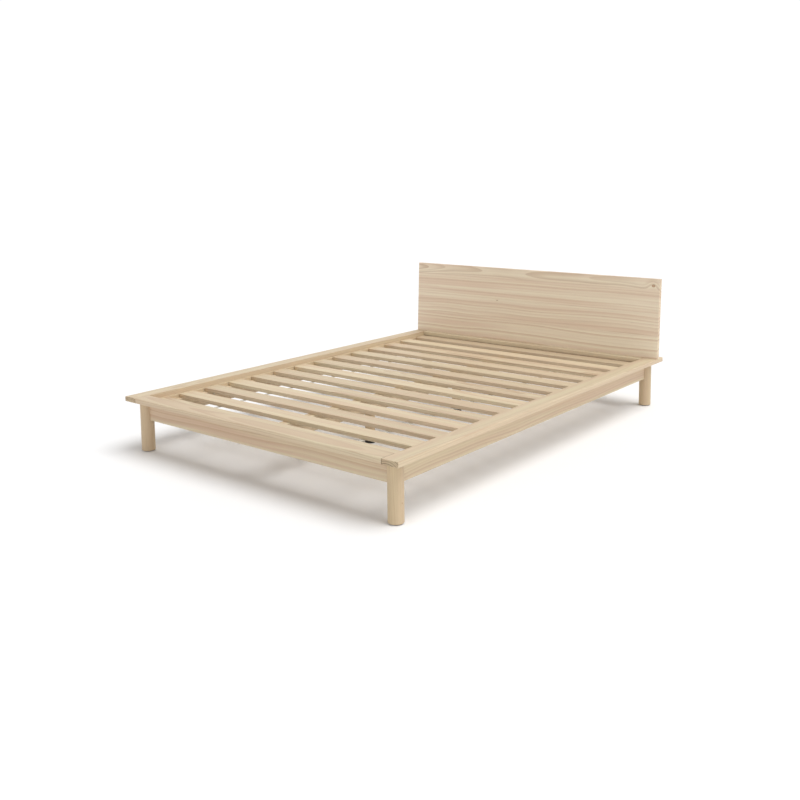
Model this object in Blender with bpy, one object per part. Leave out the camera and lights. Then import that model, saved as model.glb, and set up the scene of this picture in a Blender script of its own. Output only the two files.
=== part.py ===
"""A low wooden bed frame: a wide ledge of pine boards on narrow aprons and round legs, a leaning
headboard on two posts, and a slatted base on cleats and a centre beam with levelling feet.

Metres. +X is the sleeper's right when seen from the foot, +Y runs from the foot to the head, and
+Z is up. The origin is on the floor, under the middle of the ledge.
"""

from math import cos, pi, radians, sin, sqrt, tan

import bmesh
import bpy
from mathutils import Matrix, Vector

# ---------------------------------------------------------------- driving dimensions

GAP = 0.0003                  # clearance between touching pieces

MATTRESS_ROOM_X = 1.410       # clear opening for a 1.40 x 2.00 m mattress
MATTRESS_ROOM_Y = 2.010
SIDE_LEDGE = 0.075            # width of the side and foot boards
HEAD_LEDGE = 0.110            # width of the head board, which also carries the headboard
LEDGE_TOP = 0.250
STOCK = 0.022                 # thickness of the ledge boards, aprons and headboard
ARRIS = 0.0035                # rounding of the boards' long edges

LEG_RADIUS = 0.030
LEG_INSET = 0.066             # leg axis in from the ledge's edges
LEG_SIDES = 48
FOOT_SIDES = 32
GLIDE_HEIGHT = 0.003
GLIDE_RADIUS = 0.025

APRON_BOTTOM = 0.1410
APRON_OUTBOARD = 0.007        # apron's outer face, out from the leg axis
APRON_CORNER = 0.007          # rounding of the apron's lower corners
TENON_BOTTOM = APRON_BOTTOM + 0.012
TENON_FROM_AXIS = 0.022       # tenon's end, in from the leg axis
LEG_FLAT_FROM_AXIS = 0.018    # flat on the leg's inner corner, for the hanger bolt

LEAN = radians(2.5)
HEADBOARD_SLOPE = 0.415       # height of the headboard along its face
HEADBOARD_SETBACK = 0.074     # front lower edge, in from the head end
POST_WIDTH = 0.060
POST_X = 0.450
POST_BOTTOM = 0.150
POST_TOP = 0.580
POST_BACK_SETBACK = 0.007     # rear face, in from the head end
POST_BOLT_HEIGHTS = {"foot": 0.185, "lower": 0.340, "upper": 0.520}
BOLT_RADIUS = 0.004
BOLT_HEAD_RADIUS = 0.0085
BOLT_HEAD_HEIGHT = 0.005
BOLT_BITE = 0.014             # how far a bolt goes into the board in front of the post
BOLT_SIDES = 12

SLAT_COUNT = 14
SLAT_WIDTH = 0.080
SLAT_THICK = 0.0177
SLAT_HALF_LENGTH = 0.6965
FIRST_SLAT_Y = -0.972
LAST_SLAT_Y = 0.940
CLEAT_WIDTH = 0.026
CLEAT_HEIGHT = 0.028
BEAM_WIDTH = 0.045
BEAM_HEIGHT = 0.065
STRAP_X = 0.420
STRAP_WIDTH = 0.020
STRAP_THICK = 0.001
STRAP_PAST_SLAT = 0.020       # strap's end, in from the outer edge of the last slat

HANGER_THICK = 0.0025
HANGER_DEPTH = 0.040
HANGER_FLANGE = 0.028
HANGER_HEIGHT = 0.058

BRACKET_THICK = 0.003
BRACKET_Z = (0.146, 0.178)
BRACKET_REACH = 0.070         # where its web meets the aprons, from the leg axis
BRACKET_FLANGE = 0.032
HANGER_BOLT_START = -0.008    # along the diagonal, from the leg axis
HANGER_BOLT_END = 0.075
NUT_RADIUS = 0.0075
NUT_HEIGHT = 0.0065

CENTRE_LEG_Y = 0.340
CENTRE_LEG_RADIUS = 0.0225
CENTRE_LEG_BOTTOM = 0.024
PAD_RADIUS = 0.025
PAD_HEIGHT = 0.008
PAD_SOCKET_FLOOR = 0.0032
STEM_RADIUS = 0.005
STEM_BOTTOM = 0.0035
STEM_TOP = 0.075
STEM_BORE_TOP = 0.086
STEM_SIDES = 16
COLLAR_RADIUS = 0.0095
COLLAR_Z = (PAD_HEIGHT + GAP, 0.0143)

# ---------------------------------------------------------------- worked-out dimensions

WIDTH = MATTRESS_ROOM_X + 2 * SIDE_LEDGE
LENGTH = MATTRESS_ROOM_Y + SIDE_LEDGE + HEAD_LEDGE
HALF_X = WIDTH / 2
HALF_Y = LENGTH / 2
UNDER_LEDGE = LEDGE_TOP - STOCK
BELOW_LEDGE = UNDER_LEDGE - GAP
LEG_X = HALF_X - LEG_INSET
LEG_Y = HALF_Y - LEG_INSET
APRON_INBOARD = STOCK - APRON_OUTBOARD
INNER_X = LEG_X - APRON_INBOARD
INNER_Y = LEG_Y - APRON_INBOARD
SLAT_TOP = BELOW_LEDGE
SLAT_BOTTOM = SLAT_TOP - SLAT_THICK
BEARER_TOP = SLAT_BOTTOM - GAP
BEAM_BOTTOM = BEARER_TOP - BEAM_HEIGHT
PANEL_FRONT_Y = HALF_Y - HEADBOARD_SETBACK
PANEL_BACK_Y = PANEL_FRONT_Y + STOCK / cos(LEAN)
POST_BACK_Y = HALF_Y - POST_BACK_SETBACK

SIDES = {"left": -1, "right": 1}
ENDS = {"foot": -1, "head": 1}

# ---------------------------------------------------------------- materials


def material(name, colour, roughness, metallic=0.0):
    made = bpy.data.materials.new(name)
    made.use_nodes = True
    shader = made.node_tree.nodes["Principled BSDF"]
    shader.inputs["Base Color"].default_value = (*colour, 1.0)
    shader.inputs["Roughness"].default_value = roughness
    shader.inputs["Metallic"].default_value = metallic
    return made


def make_materials():
    return {
        "ledge": material("ledge_pine", (0.68, 0.53, 0.39), 0.55),
        "apron": material("apron_pine", (0.64, 0.49, 0.35), 0.55),
        "leg": material("leg_pine", (0.66, 0.50, 0.34), 0.55),
        "headboard": material("headboard_pine", (0.70, 0.57, 0.44), 0.55),
        "post": material("post_pine", (0.66, 0.52, 0.38), 0.60),
        "slat": material("slat_pine", (0.72, 0.60, 0.45), 0.65),
        "bearer": material("bearer_pine", (0.67, 0.53, 0.39), 0.65),
        "steel": material("zinc_steel", (0.62, 0.63, 0.64), 0.35, 1.0),
        "felt": material("felt", (0.30, 0.27, 0.24), 0.95),
        "plastic": material("black_plastic", (0.05, 0.05, 0.055), 0.45),
        "webbing": material("webbing", (0.82, 0.80, 0.75), 0.85),
    }


# ---------------------------------------------------------------- building blocks


def add_object(name, bm, mat=None, smooth=False):
    """Turn a bmesh into a named object; round pieces are shaded smooth between sharp edges."""
    bmesh.ops.recalc_face_normals(bm, faces=bm.faces)
    mesh = bpy.data.meshes.new(name)
    bm.to_mesh(mesh)
    bm.free()
    if mat:
        mesh.materials.append(mat)
    if smooth:
        mesh.shade_smooth()
        mesh.set_sharp_from_angle(angle=radians(35))
    made = bpy.data.objects.new(name, mesh)
    bpy.context.scene.collection.objects.link(made)
    return made


def box_bmesh(low, high):
    bm = bmesh.new()
    bmesh.ops.create_cube(bm, size=1.0)
    for vert in bm.verts:
        for axis in range(3):
            vert.co[axis] = high[axis] if vert.co[axis] > 0 else low[axis]
    return bm


def edges_along(bm, axis):
    """The edges that run along one axis, 0 to 2."""
    others = [i for i in range(3) if i != axis]
    return [
        edge for edge in bm.edges
        if all(abs(edge.verts[0].co[i] - edge.verts[1].co[i]) < 1e-7 for i in others)
    ]


def round_edges(bm, edges, radius, segments):
    bmesh.ops.bevel(
        bm, geom=edges, offset=radius, segments=segments, profile=0.5, affect="EDGES"
    )


def board(name, low, high, mat, grain, arris=ARRIS, segments=3, round_ends=False):
    """A sawn board with its long edges eased, and its ends too where they are free."""
    bm = box_bmesh(low, high)
    edges = list(bm.edges) if round_ends else edges_along(bm, grain)
    round_edges(bm, edges, arris, segments)
    return add_object(name, bm, mat)


def prism_bmesh(outline, axis, start, end):
    """Extrude a flat outline along an axis; its two coordinates are the other axes in order."""
    bm = bmesh.new()
    places = [i for i in range(3) if i != axis]
    verts = []
    for first, second in outline:
        point = [0.0, 0.0, 0.0]
        point[axis], point[places[0]], point[places[1]] = start, first, second
        verts.append(bm.verts.new(point))
    face = bm.faces.new(verts)
    grown = bmesh.ops.extrude_face_region(bm, geom=[face])
    shift = [0.0, 0.0, 0.0]
    shift[axis] = end - start
    moved = [item for item in grown["geom"] if isinstance(item, bmesh.types.BMVert)]
    bmesh.ops.translate(bm, verts=moved, vec=shift)
    return bm


def cylinder_bmesh(radius, z_low, z_high, segments, round_low=0.0, round_high=0.0):
    bm = bmesh.new()
    bmesh.ops.create_cone(
        bm, cap_ends=True, segments=segments, radius1=radius, radius2=radius,
        depth=z_high - z_low,
        matrix=Matrix.Translation((0, 0, (z_low + z_high) / 2)),
    )
    for height, radius_of_edge in ((z_low, round_low), (z_high, round_high)):
        if radius_of_edge:
            rim = [e for e in bm.edges if all(abs(v.co.z - height) < 1e-6 for v in e.verts)]
            round_edges(bm, rim, radius_of_edge, 2)
    return bm


def hidden(tool):
    """Mark a cutter or an added lump, which only a Boolean uses."""
    tool.hide_render = True
    tool.display_type = "WIRE"
    return tool


def boolean(target, tool, operation="DIFFERENCE"):
    hidden(tool)
    step = target.modifiers.new(tool.name, "BOOLEAN")
    step.operation = operation
    step.solver = "EXACT"
    step.object = tool


def box_cutter(name, low, high):
    low, high = ([pick(pair) for pair in zip(low, high)] for pick in (min, max))
    return add_object(name, box_bmesh(low, high))


def rod_cutter(name, radius, z_low, z_high, placing, segments=16):
    tool = add_object(name, cylinder_bmesh(radius, z_low, z_high, segments))
    tool.matrix_world = placing
    return tool


def along_y(x, z):
    """A placing whose local Z runs along world +Y at the given x and z."""
    return Matrix.Translation((x, 0, z)) @ Matrix.Rotation(-pi / 2, 4, "X")


def diagonal(side, end, z):
    """A placing at a leg's axis: local Z points to the bed's middle at 45 degrees, local Y up."""
    inward = Vector((-side, -end, 0)).normalized()
    up = Vector((0, 0, 1))
    across = up.cross(inward)
    turn = Matrix((across, up, inward)).transposed().to_4x4()
    return Matrix.Translation((side * LEG_X, end * LEG_Y, z)) @ turn


# ---------------------------------------------------------------- ledge


def make_ledge(mats):
    """Four boards: the side boards run full length, the foot and head boards butt between."""
    for name, side in SIDES.items():
        near, far = sorted((side * (HALF_X - SIDE_LEDGE), side * HALF_X))
        board(
            f"side_board_{name}", (near, -HALF_Y, UNDER_LEDGE), (far, HALF_Y, LEDGE_TOP),
            mats["ledge"], grain=1, round_ends=True,
        )
    reach = HALF_X - SIDE_LEDGE - GAP
    board(
        "foot_board", (-reach, -HALF_Y, UNDER_LEDGE), (reach, SIDE_LEDGE - HALF_Y, LEDGE_TOP),
        mats["ledge"], grain=0,
    )
    head = board(
        "head_board", (-reach, HALF_Y - HEAD_LEDGE, UNDER_LEDGE), (reach, HALF_Y, LEDGE_TOP),
        mats["ledge"], grain=0,
    )
    half = POST_WIDTH / 2 + GAP
    for name, side in SIDES.items():
        centre = side * POST_X
        notch = box_cutter(
            f"notch_{name}", (centre - half, PANEL_BACK_Y, UNDER_LEDGE - STOCK),
            (centre + half, HALF_Y + STOCK, LEDGE_TOP + STOCK),
        )
        boolean(head, notch)


# ---------------------------------------------------------------- aprons and legs


def apron_outline(half_span):
    """Seen from outside: shoulders at the legs, tenons above, round lower corners."""
    shoulder = half_span - LEG_RADIUS - GAP
    tenon = half_span - TENON_FROM_AXIS
    corner = [
        (
            shoulder - APRON_CORNER * (1 - sin(turn)),
            APRON_BOTTOM + APRON_CORNER * (1 - cos(turn)),
        )
        for turn in (radians(18 * step) for step in range(6))
    ]
    right = corner + [(shoulder, TENON_BOTTOM), (tenon, TENON_BOTTOM), (tenon, BELOW_LEDGE)]
    return right + [(-x, z) for x, z in reversed(right)]


def make_apron(name, half_span, location, turn, mats):
    bm = prism_bmesh(apron_outline(half_span), 1, -APRON_OUTBOARD, APRON_INBOARD)
    low_edges = [
        edge for edge in edges_along(bm, 0)
        if all(abs(vert.co.z - APRON_BOTTOM) < 1e-6 for vert in edge.verts)
    ]
    round_edges(bm, low_edges, 0.0015, 2)
    made = add_object(name, bm, mats["apron"])
    made.location = location
    made.rotation_euler.z = turn
    return made


def make_aprons(mats):
    make_apron("foot_apron", LEG_X, (0, -LEG_Y, 0), 0.0, mats)
    head = make_apron("head_apron", LEG_X, (0, LEG_Y, 0), pi, mats)
    make_apron("side_apron_right", LEG_Y, (LEG_X, 0, 0), pi / 2, mats)
    make_apron("side_apron_left", LEG_Y, (-LEG_X, 0, 0), -pi / 2, mats)
    outer = LEG_Y + APRON_OUTBOARD
    for name, side in SIDES.items():
        hole = rod_cutter(
            f"apron_hole_{name}", BOLT_RADIUS + GAP, outer - BOLT_BITE - 2 * GAP,
            outer + STOCK, along_y(side * POST_X, POST_BOLT_HEIGHTS["foot"]),
        )
        boolean(head, hole)


def make_leg(end_name, end, side_name, side, mats):
    """A round leg, housed for both aprons and flatted on its inner corner."""
    tag = f"{end_name}_{side_name}"
    x, y = side * LEG_X, end * LEG_Y
    bm = cylinder_bmesh(LEG_RADIUS, GLIDE_HEIGHT, BELOW_LEDGE, LEG_SIDES, round_low=0.002)
    leg = add_object(f"leg_{tag}", bm, mats["leg"], smooth=True)
    leg.location = (x, y, 0)
    clear = LEG_RADIUS + 0.01
    bottom, top = TENON_BOTTOM - GAP, LEDGE_TOP
    end_gap = TENON_FROM_AXIS - GAP
    out, back = APRON_OUTBOARD + GAP, APRON_INBOARD + GAP
    boolean(leg, box_cutter(
        f"housing_x_{tag}", (x - side * end_gap, y + end * out, bottom),
        (x - side * clear, y - end * back, top),
    ))
    boolean(leg, box_cutter(
        f"housing_y_{tag}", (x + side * out, y - end * end_gap, bottom),
        (x - side * back, y - end * clear, top),
    ))
    flat = box_cutter(
        f"flat_{tag}", (-clear, BRACKET_Z[0], LEG_FLAT_FROM_AXIS), (clear, LEDGE_TOP, 2 * clear)
    )
    flat.matrix_world = diagonal(side, end, 0)
    boolean(leg, flat)
    boolean(leg, rod_cutter(
        f"leg_hole_{tag}", BOLT_RADIUS + GAP, HANGER_BOLT_START - GAP, clear,
        diagonal(side, end, sum(BRACKET_Z) / 2),
    ))
    glide = add_object(
        f"glide_{tag}", cylinder_bmesh(GLIDE_RADIUS, 0, GLIDE_HEIGHT - GAP, FOOT_SIDES), mats["felt"],
        smooth=True,
    )
    glide.location = (x, y, 0)


def bracket_outline(side, end):
    """Plan of the corner bracket: a flange on each apron and a web across the corner."""
    near = APRON_INBOARD + GAP
    far = near + BRACKET_THICK
    reach, tip = BRACKET_REACH, BRACKET_REACH + BRACKET_FLANGE
    inner = reach + near + BRACKET_THICK * sqrt(2) - far
    half = [(tip, near), (reach, near)]
    back = [(inner, far), (tip, far)]
    plan = half + [(v, u) for u, v in reversed(half)] + [(v, u) for u, v in reversed(back)]
    plan += back
    return [(side * (LEG_X - u), end * (LEG_Y - v)) for u, v in plan]


def make_corner(end_name, end, side_name, side, mats):
    """The steel bracket across a corner, and the hanger bolt that draws the leg to it."""
    tag = f"{end_name}_{side_name}"
    bracket = add_object(
        f"corner_bracket_{tag}", prism_bmesh(bracket_outline(side, end), 2, *BRACKET_Z),
        mats["steel"],
    )
    placing = diagonal(side, end, sum(BRACKET_Z) / 2)
    web = (BRACKET_REACH + APRON_INBOARD + GAP) / sqrt(2)
    boolean(bracket, rod_cutter(
        f"bracket_hole_{tag}", BOLT_RADIUS + 2 * GAP, web - STOCK, web + STOCK, placing
    ))
    bolt = add_object(f"corner_bolt_{tag}", cylinder_bmesh(
        BOLT_RADIUS, HANGER_BOLT_START, HANGER_BOLT_END, BOLT_SIDES
    ), mats["steel"], smooth=True)
    bolt.matrix_world = placing
    nut_low = web + BRACKET_THICK + GAP
    nut = rod_cutter(f"nut_{tag}", NUT_RADIUS, nut_low, nut_low + NUT_HEIGHT, placing, 6)
    boolean(bolt, nut, "UNION")


def make_corners(mats):
    for end_name, end in ENDS.items():
        for side_name, side in SIDES.items():
            make_leg(end_name, end, side_name, side, mats)
            make_corner(end_name, end, side_name, side, mats)


# ---------------------------------------------------------------- headboard


def panel_face_y(z):
    """How far back the headboard's rear face is at a height."""
    return PANEL_BACK_Y + tan(LEAN) * (z - LEDGE_TOP)


def make_headboard(mats):
    """A leaning panel cut level underneath, so that it sits flat on the head board."""
    bottom = LEDGE_TOP + GAP
    rise, run = HEADBOARD_SLOPE * cos(LEAN), HEADBOARD_SLOPE * sin(LEAN)
    thick_y, thick_z = STOCK * cos(LEAN), STOCK * sin(LEAN)
    outline = [
        (PANEL_FRONT_Y, bottom),
        (PANEL_BACK_Y, bottom),
        (PANEL_FRONT_Y + run + thick_y, bottom + rise - thick_z),
        (PANEL_FRONT_Y + run, bottom + rise),
    ]
    bm = prism_bmesh(outline, 0, -HALF_X, HALF_X)
    rounded = [
        edge for edge in bm.edges if max(vert.co.z for vert in edge.verts) > bottom + STOCK
    ]
    round_edges(bm, rounded, 0.003, 3)
    panel = add_object("headboard_panel", bm, mats["headboard"])
    for side_name, side in SIDES.items():
        for place in ("lower", "upper"):
            z = POST_BOLT_HEIGHTS[place]
            deep = panel_face_y(z) - BOLT_BITE
            boolean(panel, rod_cutter(
                f"panel_hole_{side_name}_{place}", BOLT_RADIUS + GAP, deep - GAP,
                deep + 2 * STOCK, along_y(side * POST_X, z),
            ))


def post_outline():
    """Side view: upright at the back, and at the front the apron's face, then the panel's."""
    apron_face = LEG_Y + APRON_OUTBOARD + GAP
    return [
        (apron_face, POST_BOTTOM),
        (POST_BACK_Y, POST_BOTTOM),
        (POST_BACK_Y, POST_TOP),
        (panel_face_y(POST_TOP) + GAP, POST_TOP),
        (panel_face_y(LEDGE_TOP) + GAP, LEDGE_TOP),
        (panel_face_y(LEDGE_TOP) + GAP, BELOW_LEDGE),
        (apron_face, BELOW_LEDGE),
    ]


def make_posts(mats):
    for side_name, side in SIDES.items():
        centre = side * POST_X
        half = POST_WIDTH / 2
        bm = prism_bmesh(post_outline(), 0, centre - half, centre + half)
        back_edges = [
            edge for edge in bm.edges
            if all(abs(vert.co.y - POST_BACK_Y) < 1e-6 for vert in edge.verts)
        ]
        round_edges(bm, back_edges, 0.003, 2)
        post = add_object(f"headboard_post_{side_name}", bm, mats["post"])
        for place, z in POST_BOLT_HEIGHTS.items():
            make_post_bolt(post, side_name, place, centre, z, mats)


def make_post_bolt(post, side_name, place, x, z, mats):
    """A button-head bolt through the post, into the apron or the headboard."""
    face = LEG_Y + APRON_OUTBOARD if place == "foot" else panel_face_y(z)
    tag = f"{side_name}_{place}"
    boolean(post, rod_cutter(
        f"post_hole_{tag}", BOLT_RADIUS + GAP, face - STOCK, POST_BACK_Y + STOCK, along_y(x, z)
    ))
    bolt = add_object(f"post_bolt_{tag}", cylinder_bmesh(
        BOLT_RADIUS, face - BOLT_BITE, POST_BACK_Y + 2 * GAP, BOLT_SIDES
    ), mats["steel"], smooth=True)
    bolt.matrix_world = along_y(x, z)
    head_low = POST_BACK_Y + GAP
    head = add_object(f"bolt_head_{tag}", cylinder_bmesh(
        BOLT_HEAD_RADIUS, head_low, head_low + BOLT_HEAD_HEIGHT, 2 * BOLT_SIDES
    ))
    head.matrix_world = along_y(x, z)
    boolean(bolt, head, "UNION")


# ---------------------------------------------------------------- slatted base


def make_slats(mats):
    """Slats across the bed, tied under their ends by two straps."""
    pitch = (LAST_SLAT_Y - FIRST_SLAT_Y) / (SLAT_COUNT - 1)
    half = SLAT_WIDTH / 2
    for index in range(SLAT_COUNT):
        y = FIRST_SLAT_Y + pitch * index
        board(
            f"slat_{index + 1:02d}", (-SLAT_HALF_LENGTH, y - half, SLAT_BOTTOM),
            (SLAT_HALF_LENGTH, y + half, SLAT_TOP), mats["slat"], grain=0, arris=0.002,
            segments=1,
        )
    low_y = FIRST_SLAT_Y - half + STRAP_PAST_SLAT
    high_y = LAST_SLAT_Y + half - STRAP_PAST_SLAT
    for name, side in SIDES.items():
        middle = side * STRAP_X
        bm = box_bmesh(
            (middle - STRAP_WIDTH / 2, low_y, SLAT_BOTTOM - GAP - STRAP_THICK),
            (middle + STRAP_WIDTH / 2, high_y, SLAT_BOTTOM - GAP),
        )
        add_object(f"slat_strap_{name}", bm, mats["webbing"])


def make_bearers(mats):
    """The cleats on the side aprons and the beam under the middle of the slats."""
    for name, side in SIDES.items():
        near, far = sorted((side * (INNER_X - GAP - CLEAT_WIDTH), side * (INNER_X - GAP)))
        board(
            f"slat_cleat_{name}", (near, GAP - INNER_Y, BEARER_TOP - CLEAT_HEIGHT),
            (far, INNER_Y - GAP, BEARER_TOP), mats["bearer"], grain=1, arris=0.002, segments=1,
        )
    half = BEAM_WIDTH / 2
    reach = INNER_Y - HANGER_THICK - 2 * GAP
    board(
        "centre_beam", (-half, -reach, BEAM_BOTTOM), (half, reach, BEARER_TOP),
        mats["bearer"], grain=1, arris=0.002, segments=1,
    )


def make_beam_hanger(end_name, end, mats):
    """A folded steel saddle: a back plate on the apron, two cheeks and a seat for the beam."""
    back = INNER_Y - GAP
    half = BEAM_WIDTH / 2 + GAP
    low = BEAM_BOTTOM - GAP - HANGER_THICK
    high = low + HANGER_HEIGHT
    wide = half + HANGER_THICK + HANGER_FLANGE
    plan = [
        (wide, back), (wide, back - HANGER_THICK),
        (half + HANGER_THICK, back - HANGER_THICK), (half + HANGER_THICK, back - HANGER_DEPTH),
        (half, back - HANGER_DEPTH), (half, back - HANGER_THICK),
    ]
    plan += [(-x, y) for x, y in reversed(plan)]
    plan = [(x, end * y) for x, y in plan]
    hanger = add_object(
        f"beam_hanger_{end_name}", prism_bmesh(plan, 2, low, high), mats["steel"]
    )
    seat = box_cutter(
        f"hanger_seat_{end_name}", (-half - HANGER_THICK / 2, end * (back - HANGER_DEPTH), low),
        (half + HANGER_THICK / 2, end * (back - HANGER_THICK / 2), low + HANGER_THICK),
    )
    boolean(hanger, seat, "UNION")


def make_centre_leg(end_name, end, mats):
    """A turned leg under the beam, bored for the stem of its levelling foot."""
    bm = cylinder_bmesh(
        CENTRE_LEG_RADIUS, CENTRE_LEG_BOTTOM, BEAM_BOTTOM - GAP, FOOT_SIDES, round_low=0.002
    )
    leg = add_object(f"centre_leg_{end_name}", bm, mats["leg"], smooth=True)
    leg.location.y = end * CENTRE_LEG_Y
    place = Matrix.Translation((0, end * CENTRE_LEG_Y, 0))
    boolean(leg, rod_cutter(
        f"stem_bore_{end_name}", STEM_RADIUS + GAP, -PAD_HEIGHT, STEM_BORE_TOP, place
    ))


def make_levelling_foot(end_name, end, mats):
    """A pad that stays still on the floor, and the threaded stem that turns in it and the leg."""
    place = Matrix.Translation((0, end * CENTRE_LEG_Y, 0))
    pad = add_object(f"levelling_pad_{end_name}", cylinder_bmesh(
        PAD_RADIUS, 0, PAD_HEIGHT, FOOT_SIDES, round_high=0.002
    ), mats["plastic"], smooth=True)
    pad.matrix_world = place
    boolean(pad, rod_cutter(
        f"pad_socket_{end_name}", STEM_RADIUS + GAP, PAD_SOCKET_FLOOR, 2 * PAD_HEIGHT, place
    ))
    stem = add_object(f"levelling_stem_{end_name}", cylinder_bmesh(
        STEM_RADIUS, STEM_BOTTOM, STEM_TOP, STEM_SIDES
    ), mats["steel"], smooth=True)
    stem.matrix_world = place
    collar = rod_cutter(f"stem_collar_{end_name}", COLLAR_RADIUS, *COLLAR_Z, place, 6)
    boolean(stem, collar, "UNION")


def make_base(mats):
    make_slats(mats)
    make_bearers(mats)
    for end_name, end in ENDS.items():
        make_beam_hanger(end_name, end, mats)
        make_centre_leg(end_name, end, mats)
        make_levelling_foot(end_name, end, mats)


# ---------------------------------------------------------------- the bed


def clear_scene():
    for old in list(bpy.data.objects):
        bpy.data.objects.remove(old, do_unlink=True)


def main():
    clear_scene()
    mats = make_materials()
    make_ledge(mats)
    make_aprons(mats)
    make_corners(mats)
    make_headboard(mats)
    make_posts(mats)
    make_base(mats)


main()
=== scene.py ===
import math

import bmesh
import bpy
import numpy as np
from mathutils import Matrix, Vector


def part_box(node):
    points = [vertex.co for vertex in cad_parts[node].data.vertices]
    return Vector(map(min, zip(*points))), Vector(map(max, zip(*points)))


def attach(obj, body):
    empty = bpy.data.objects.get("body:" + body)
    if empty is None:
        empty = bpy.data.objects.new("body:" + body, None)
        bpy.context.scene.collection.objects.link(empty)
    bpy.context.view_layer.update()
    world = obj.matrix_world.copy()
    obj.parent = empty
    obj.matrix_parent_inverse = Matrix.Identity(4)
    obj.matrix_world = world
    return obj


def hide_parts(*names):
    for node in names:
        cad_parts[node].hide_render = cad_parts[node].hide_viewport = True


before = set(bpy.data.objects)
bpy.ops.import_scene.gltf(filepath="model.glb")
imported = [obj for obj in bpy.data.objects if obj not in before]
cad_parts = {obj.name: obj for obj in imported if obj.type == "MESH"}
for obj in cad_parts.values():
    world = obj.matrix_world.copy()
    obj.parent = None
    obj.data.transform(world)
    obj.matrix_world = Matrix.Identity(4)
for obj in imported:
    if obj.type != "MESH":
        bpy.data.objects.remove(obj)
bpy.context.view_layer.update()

# Metres throughout. X runs across the bed, Y from foot to head, Z up from the floor.
X, Y, Z = 0, 1, 2
SIDES = {"left": -1.0, "right": 1.0}
ENDS = {"foot": -1.0, "head": 1.0}
ROOT = "bed_frame"

# Sizes that the CAD boxes don't show.
GAP = 0.0003                # clearance between pieces that touch
LEDGE_TOP = 0.250
LEG_AT = (0.714, 1.0315)    # a leg's axis, out from the middle of the bed
LEG_RADIUS = 0.030
LEG_FLAT = 0.018            # from the axis to the flat for the bracket
FLAT_BOTTOM = 0.146
APRON_OUT = 0.007           # apron's outer and inner faces, from the leg's axis
APRON_IN = 0.015
TENON_BOTTOM = 0.153
TENON_END = 0.022           # tenon's end, from the leg's axis
BRACKET_THICK = 0.003
BRACKET_REACH = 0.070       # where the bracket's web meets the aprons, from the leg's axis
BRACKET_TIP = 0.102
LEAN = math.radians(2.5)
PANEL_FOOT = (1.0235, 0.2503)    # the headboard's front lower edge, as Y and Z
PANEL_THICK = 0.022
NOTCH_Y = 1.0455            # front of the head board's notches for the posts
POST_STEP = 0.2278          # height at which a post steps back from the apron to the notch
SLATS = [f"slat_{number:02d}" for number in range(1, 15)]
FIRST_SLAT = -0.972
SLAT_PITCH = (0.940 + 0.972) / 13
CENTRE_LEG_Y = 0.340

# Linear colours of the pine: spring wood, summer wood, and the pinkish heart tone between them.
# The headboard's tones are paler as painted light, the bounce that bedding on the bed would
# throw on it, and its top board has darker tongues. The legs' tones are yellower: partly their
# own wood, partly painted warm light bounced from the wood round them.
CREAM = (0.695, 0.588, 0.402, 1.0)
TAN = (0.500, 0.330, 0.205, 1.0)
ROSE = (0.640, 0.465, 0.325, 1.0)
BOUNCE_LIT_CREAM = (0.860, 0.755, 0.585, 1.0)
BOUNCE_LIT_TAN = (0.630, 0.445, 0.300, 1.0)
BOUNCE_LIT_ROSE = (0.770, 0.605, 0.460, 1.0)
HONEY_BOUNCE_CREAM = (0.690, 0.542, 0.338, 1.0)
FLAME_TAN = (0.470, 0.300, 0.180, 1.0)
BOUNCE_LIT = (BOUNCE_LIT_CREAM, BOUNCE_LIT_TAN, BOUNCE_LIT_ROSE)
FLAME_AND_BOUNCE_LIT = (BOUNCE_LIT_CREAM, FLAME_TAN, BOUNCE_LIT_ROSE)
HONEY_AND_BOUNCE = (HONEY_BOUNCE_CREAM, TAN, ROSE)
SEAM_GLUE_AND_SHADOW = (0.170, 0.105, 0.060, 1.0)
KNOT_RIM = (0.330, 0.175, 0.085, 1.0)
KNOT_HEART = (0.500, 0.305, 0.175, 1.0)


# ---------------------------------------------------------------- shader sums


class Value:
    """A shader socket that takes part in sums: each operator adds one Math node."""

    def __init__(self, finish, socket):
        self.finish = finish
        self.socket = socket

    def output(self, name):
        """Another output of the node that this value comes from."""
        return Value(self.finish, self.socket.node.outputs[name])

    def __add__(self, other):
        return self.finish.math("ADD", self, other)

    __radd__ = __add__

    def __sub__(self, other):
        return self.finish.math("SUBTRACT", self, other)

    def __rsub__(self, other):
        return self.finish.math("SUBTRACT", other, self)

    def __mul__(self, other):
        return self.finish.math("MULTIPLY", self, other)

    __rmul__ = __mul__

    def __truediv__(self, other):
        return self.finish.math("DIVIDE", self, other)

    def __abs__(self):
        return self.finish.math("ABSOLUTE", self)


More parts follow.
